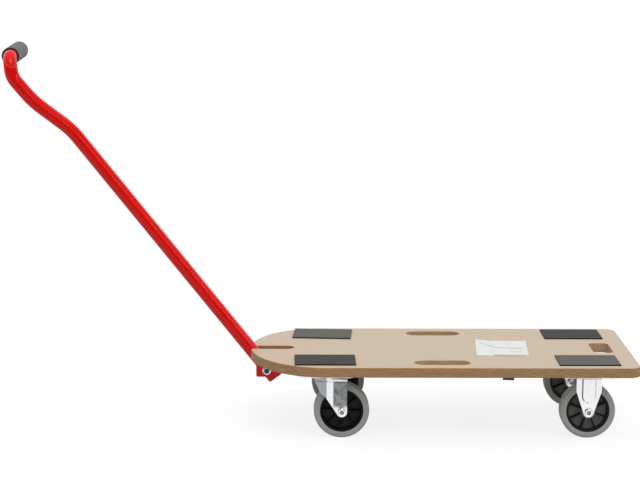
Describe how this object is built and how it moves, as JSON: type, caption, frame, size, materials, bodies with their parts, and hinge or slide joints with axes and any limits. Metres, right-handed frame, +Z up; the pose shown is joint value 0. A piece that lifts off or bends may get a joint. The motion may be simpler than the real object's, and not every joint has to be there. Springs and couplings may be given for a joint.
{
  "type": "folding platform cart",
  "caption": "Flat wooden platform cart with a rounded nose, swivel casters in front, rigid casters behind, and a bent tow handle that hinges in a nose slot and stows in a clip under the board.",
  "frame": {"origin": "on the floor, under the middle of the whole cart's box with the handle at its standing lean", "axes": "-X towards the nose that leads when the cart is towed, +X towards the rear edge, -Y the cart's left side, +Z up"},
  "size_m": [1.1558, 0.35, 0.6895],
  "materials": {
    "mdf": "bare medium-density fibreboard, eased edges",
    "grip_pad": "matt ribbed foam rubber",
    "red_paint": "gloss powder coat on steel",
    "zinc": "bright zinc plate on steel",
    "steel": "plain oiled steel",
    "wheel_core": "moulded polypropylene",
    "tyre": "grey non-marking rubber",
    "grey_foam": "closed-cell foam sleeve",
    "black_plastic": "moulded nylon",
    "nylon": "natural nylon"
  },
  "bodies": {
    "deck_body": {"deck": "mdf", "front_left_pad": "grip_pad", "front_right_pad": "grip_pad", "rear_left_pad": "grip_pad", "rear_right_pad": "grip_pad", "handle_bracket": "red_paint", "bracket_screws": "zinc", "pivot_bolt": "zinc", "pivot_nut": "zinc", "pivot_washers": "zinc", "friction_washers": "nylon", "handle_clip": "black_plastic", "clip_screws": "zinc", "caster_bolts": "zinc", "caster_inserts": "steel", "front_left_top_plate": "zinc", "front_left_kingpin": "steel", "front_left_kingpin_nut": "zinc", "front_left_swivel_balls": "steel", "rear_left_top_plate": "zinc", "rear_left_fork": "zinc", "rear_left_axle_bolt": "zinc", "rear_left_axle_nut": "zinc", "rear_left_axle_sleeve": "steel", "front_right_top_plate": "zinc", "front_right_kingpin": "steel", "front_right_kingpin_nut": "zinc", "front_right_swivel_balls": "steel", "rear_right_top_plate": "zinc", "rear_right_fork": "zinc", "rear_right_axle_bolt": "zinc", "rear_right_axle_nut": "zinc", "rear_right_axle_sleeve": "steel"},
    "handle": {"handle_tube": "red_paint", "pivot_sleeve": "steel", "foam_grip": "grey_foam", "grip_end_plug": "black_plastic"},
    "front_left_swivel": {"front_left_yoke": "zinc", "front_left_axle_bolt": "zinc", "front_left_axle_nut": "zinc", "front_left_axle_sleeve": "steel"},
    "front_left_wheel": {"front_left_wheel_core": "wheel_core", "front_left_tyre": "tyre"},
    "rear_left_wheel": {"rear_left_wheel_core": "wheel_core", "rear_left_tyre": "tyre"},
    "front_right_swivel": {"front_right_yoke": "zinc", "front_right_axle_bolt": "zinc", "front_right_axle_nut": "zinc", "front_right_axle_sleeve": "steel"},
    "front_right_wheel": {"front_right_wheel_core": "wheel_core", "front_right_tyre": "tyre"},
    "rear_right_wheel": {"rear_right_wheel_core": "wheel_core", "rear_right_tyre": "tyre"}
  },
  "joints": [
    {"name": "handle_fold", "type": "hinge", "parent": "deck_body", "child": "handle", "pos_m": [-0.0926, 0, 0.098], "axis": [0, 1, 0], "range_deg": [-229.44, 77]},
    {"name": "front_left_swivel", "type": "hinge", "parent": "deck_body", "child": "front_left_swivel", "pos_m": [0.0129, -0.1205, 0.11], "axis": [0, 0, 1], "continuous": true},
    {"name": "front_right_swivel", "type": "hinge", "parent": "deck_body", "child": "front_right_swivel", "pos_m": [0.0129, 0.1205, 0.11], "axis": [0, 0, 1], "continuous": true},
    {"name": "front_left_wheel_spin", "type": "hinge", "parent": "front_left_swivel", "child": "front_left_wheel", "pos_m": [0.0429, -0.1205, 0.05], "axis": [0, 1, 0], "continuous": true},
    {"name": "rear_left_wheel_spin", "type": "hinge", "parent": "deck_body", "child": "rear_left_wheel", "pos_m": [0.4879, -0.1205, 0.05], "axis": [0, 1, 0], "continuous": true},
    {"name": "front_right_wheel_spin", "type": "hinge", "parent": "front_right_swivel", "child": "front_right_wheel", "pos_m": [0.0429, 0.1205, 0.05], "axis": [0, 1, 0], "continuous": true},
    {"name": "rear_right_wheel_spin", "type": "hinge", "parent": "deck_body", "child": "rear_right_wheel", "pos_m": [0.4879, 0.1205, 0.05], "axis": [0, 1, 0], "continuous": true}
  ]
}
